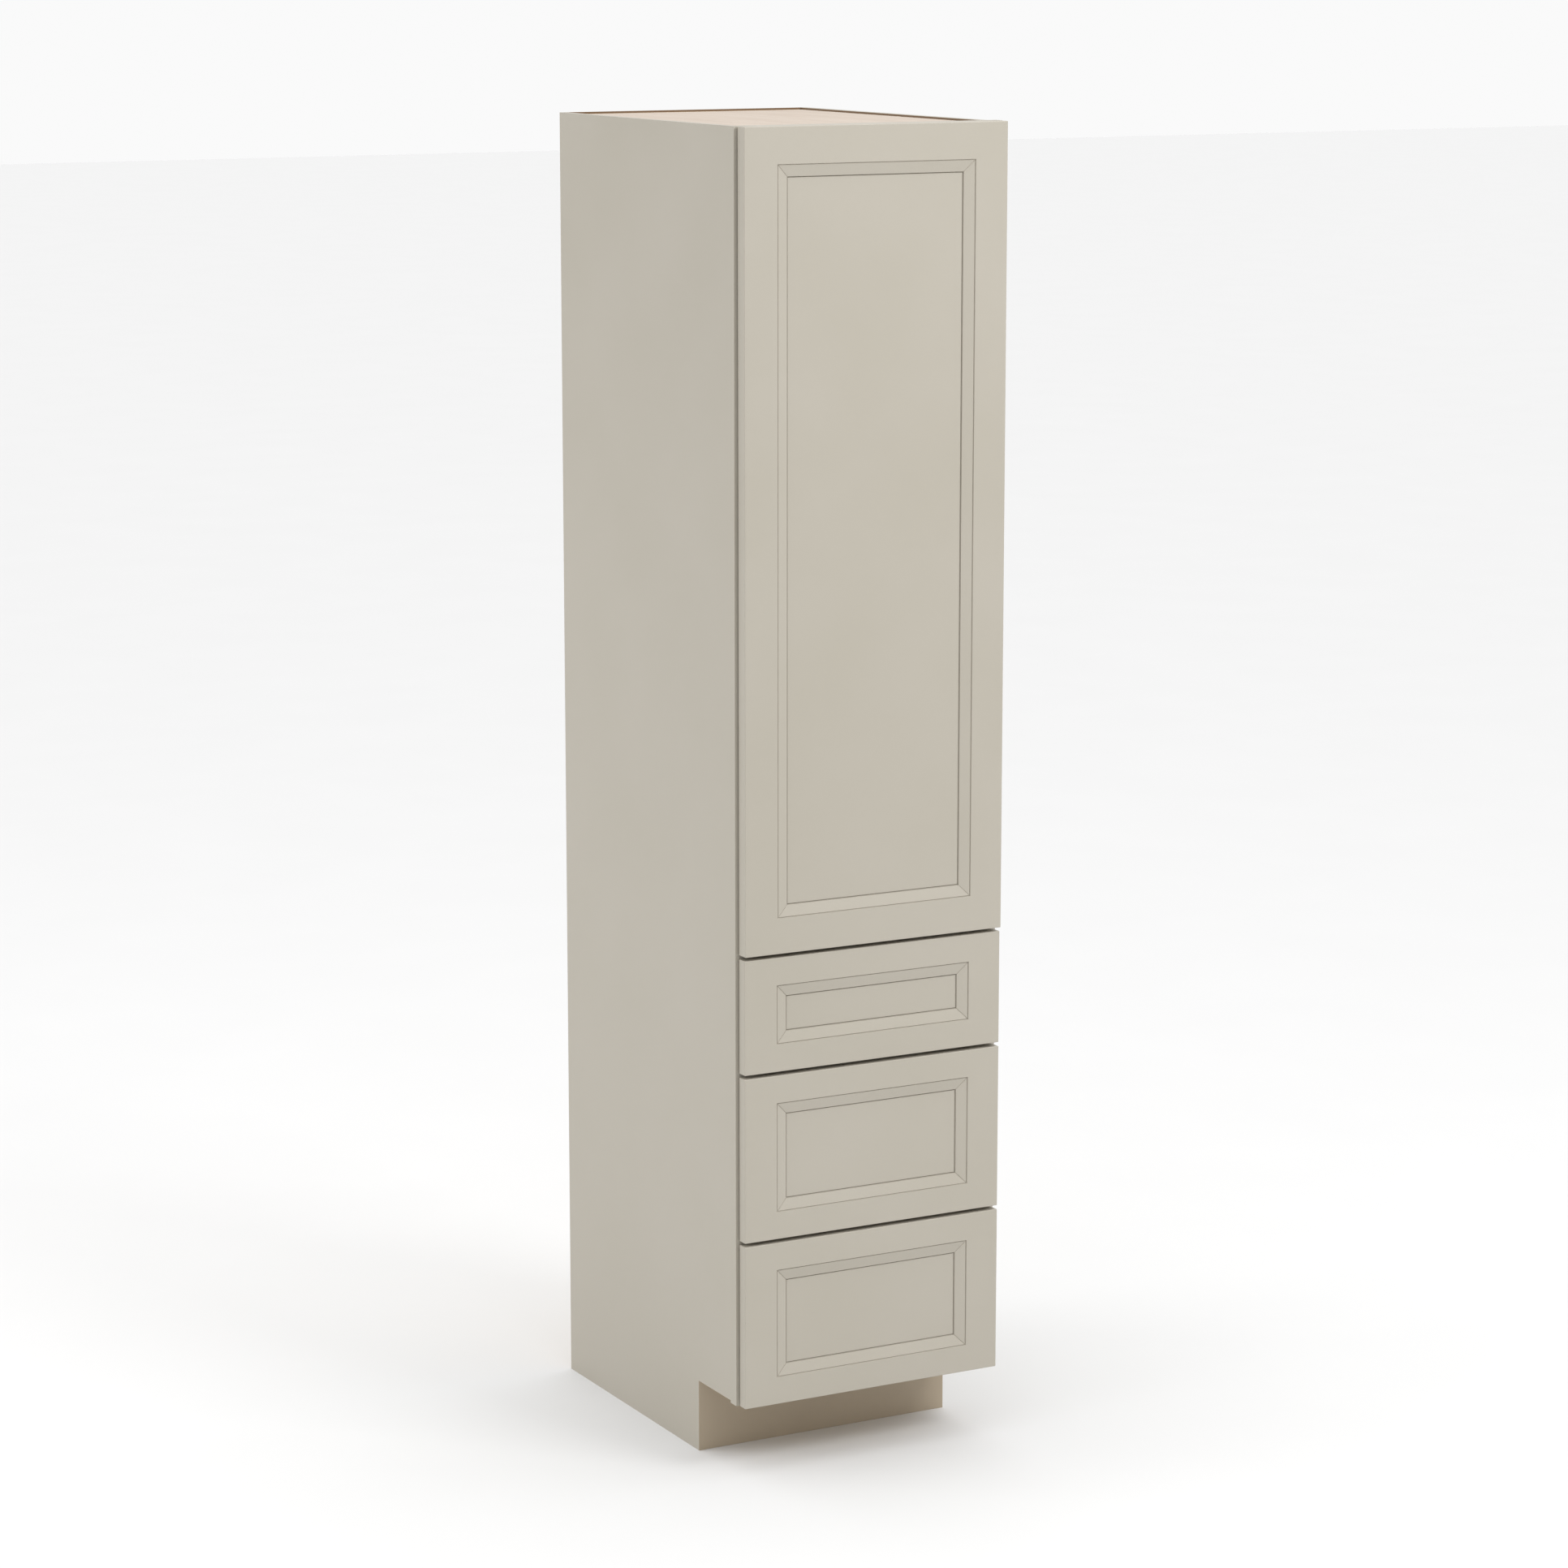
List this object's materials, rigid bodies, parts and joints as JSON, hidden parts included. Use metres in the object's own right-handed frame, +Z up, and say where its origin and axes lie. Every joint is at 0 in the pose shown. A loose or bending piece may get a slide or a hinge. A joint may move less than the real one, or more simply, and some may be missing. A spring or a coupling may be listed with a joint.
{
  "type": "pantry cabinet",
  "caption": "Tall face-frame pantry cabinet with a recessed-panel door over a stack of drawers, painted fronts and a maple-look interior.",
  "frame": {"origin": "bottom centre of the whole cabinet's box, on the floor", "axes": "+X to the right seen from the front, +Y to the back, +Z up"},
  "size_m": [0.473, 0.6348, 2.1336],
  "materials": {
    "greige_paint": "satin",
    "maple_ply": "satin",
    "maple_solid": "satin",
    "back_sheet": "matte",
    "zinc_steel": "satin",
    "nickel_steel": "satin",
    "clear_plastic": "gloss",
    "white_nylon": "matte"
  },
  "bodies": {
    "cabinet": {"left_side_panel": "greige_paint", "right_side_panel": "greige_paint", "top_panel": "maple_ply", "bottom_deck": "maple_ply", "fixed_shelf": "maple_ply", "back_panel": "back_sheet", "toe_kick_board": "greige_paint", "upper_hanging_rail": "maple_ply", "lower_hanging_rail": "maple_ply", "frame_left_stile": "greige_paint", "frame_right_stile": "greige_paint", "frame_top_rail": "greige_paint", "frame_middle_rail": "greige_paint", "frame_upper_drawer_rail": "greige_paint", "frame_lower_drawer_rail": "greige_paint", "frame_bottom_rail": "greige_paint", "adjustable_shelf_1": "maple_ply", "adjustable_shelf_2": "maple_ply", "adjustable_shelf_3": "maple_ply", "hinge_plate_1": "nickel_steel", "hinge_plate_2": "nickel_steel", "hinge_plate_3": "nickel_steel", "upper_left_cabinet_rail": "zinc_steel", "upper_right_cabinet_rail": "zinc_steel", "middle_left_cabinet_rail": "zinc_steel", "middle_right_cabinet_rail": "zinc_steel", "lower_left_cabinet_rail": "zinc_steel", "lower_right_cabinet_rail": "zinc_steel"},
    "door": {"door_hinge_stile": "greige_paint", "door_free_stile": "greige_paint", "door_top_rail": "greige_paint", "door_bottom_rail": "greige_paint", "door_panel": "greige_paint", "hinge_cup_1": "nickel_steel", "hinge_cup_2": "nickel_steel", "hinge_cup_3": "nickel_steel"},
    "upper_drawer": {"upper_drawer_front": "greige_paint", "upper_drawer_box_front": "maple_solid", "upper_drawer_box_back": "maple_solid", "upper_drawer_box_left": "maple_solid", "upper_drawer_box_right": "maple_solid", "upper_drawer_box_bottom": "maple_ply", "upper_left_drawer_rail": "zinc_steel", "upper_right_drawer_rail": "zinc_steel"},
    "middle_drawer": {"middle_drawer_front": "greige_paint", "middle_drawer_box_front": "maple_solid", "middle_drawer_box_back": "maple_solid", "middle_drawer_box_left": "maple_solid", "middle_drawer_box_right": "maple_solid", "middle_drawer_box_bottom": "maple_ply", "middle_left_drawer_rail": "zinc_steel", "middle_right_drawer_rail": "zinc_steel"},
    "lower_drawer": {"lower_drawer_front": "greige_paint", "lower_drawer_box_front": "maple_solid", "lower_drawer_box_back": "maple_solid", "lower_drawer_box_left": "maple_solid", "lower_drawer_box_right": "maple_solid", "lower_drawer_box_bottom": "maple_ply", "lower_left_drawer_rail": "zinc_steel", "lower_right_drawer_rail": "zinc_steel"}
  },
  "joints": [
    {"name": "door_hinge", "type": "hinge", "parent": "cabinet", "child": "door", "pos_m": [0.22378, -0.3114, 1.49225], "axis": [0, 0, 1], "range_deg": [0, 105]},
    {"name": "upper_drawer_slide", "type": "slide", "parent": "cabinet", "child": "upper_drawer", "axis": [0, -1, 0], "range_m": [0, 0.41]},
    {"name": "middle_drawer_slide", "type": "slide", "parent": "cabinet", "child": "middle_drawer", "axis": [0, -1, 0], "range_m": [0, 0.41]},
    {"name": "lower_drawer_slide", "type": "slide", "parent": "cabinet", "child": "lower_drawer", "axis": [0, -1, 0], "range_m": [0, 0.41]}
  ]
}
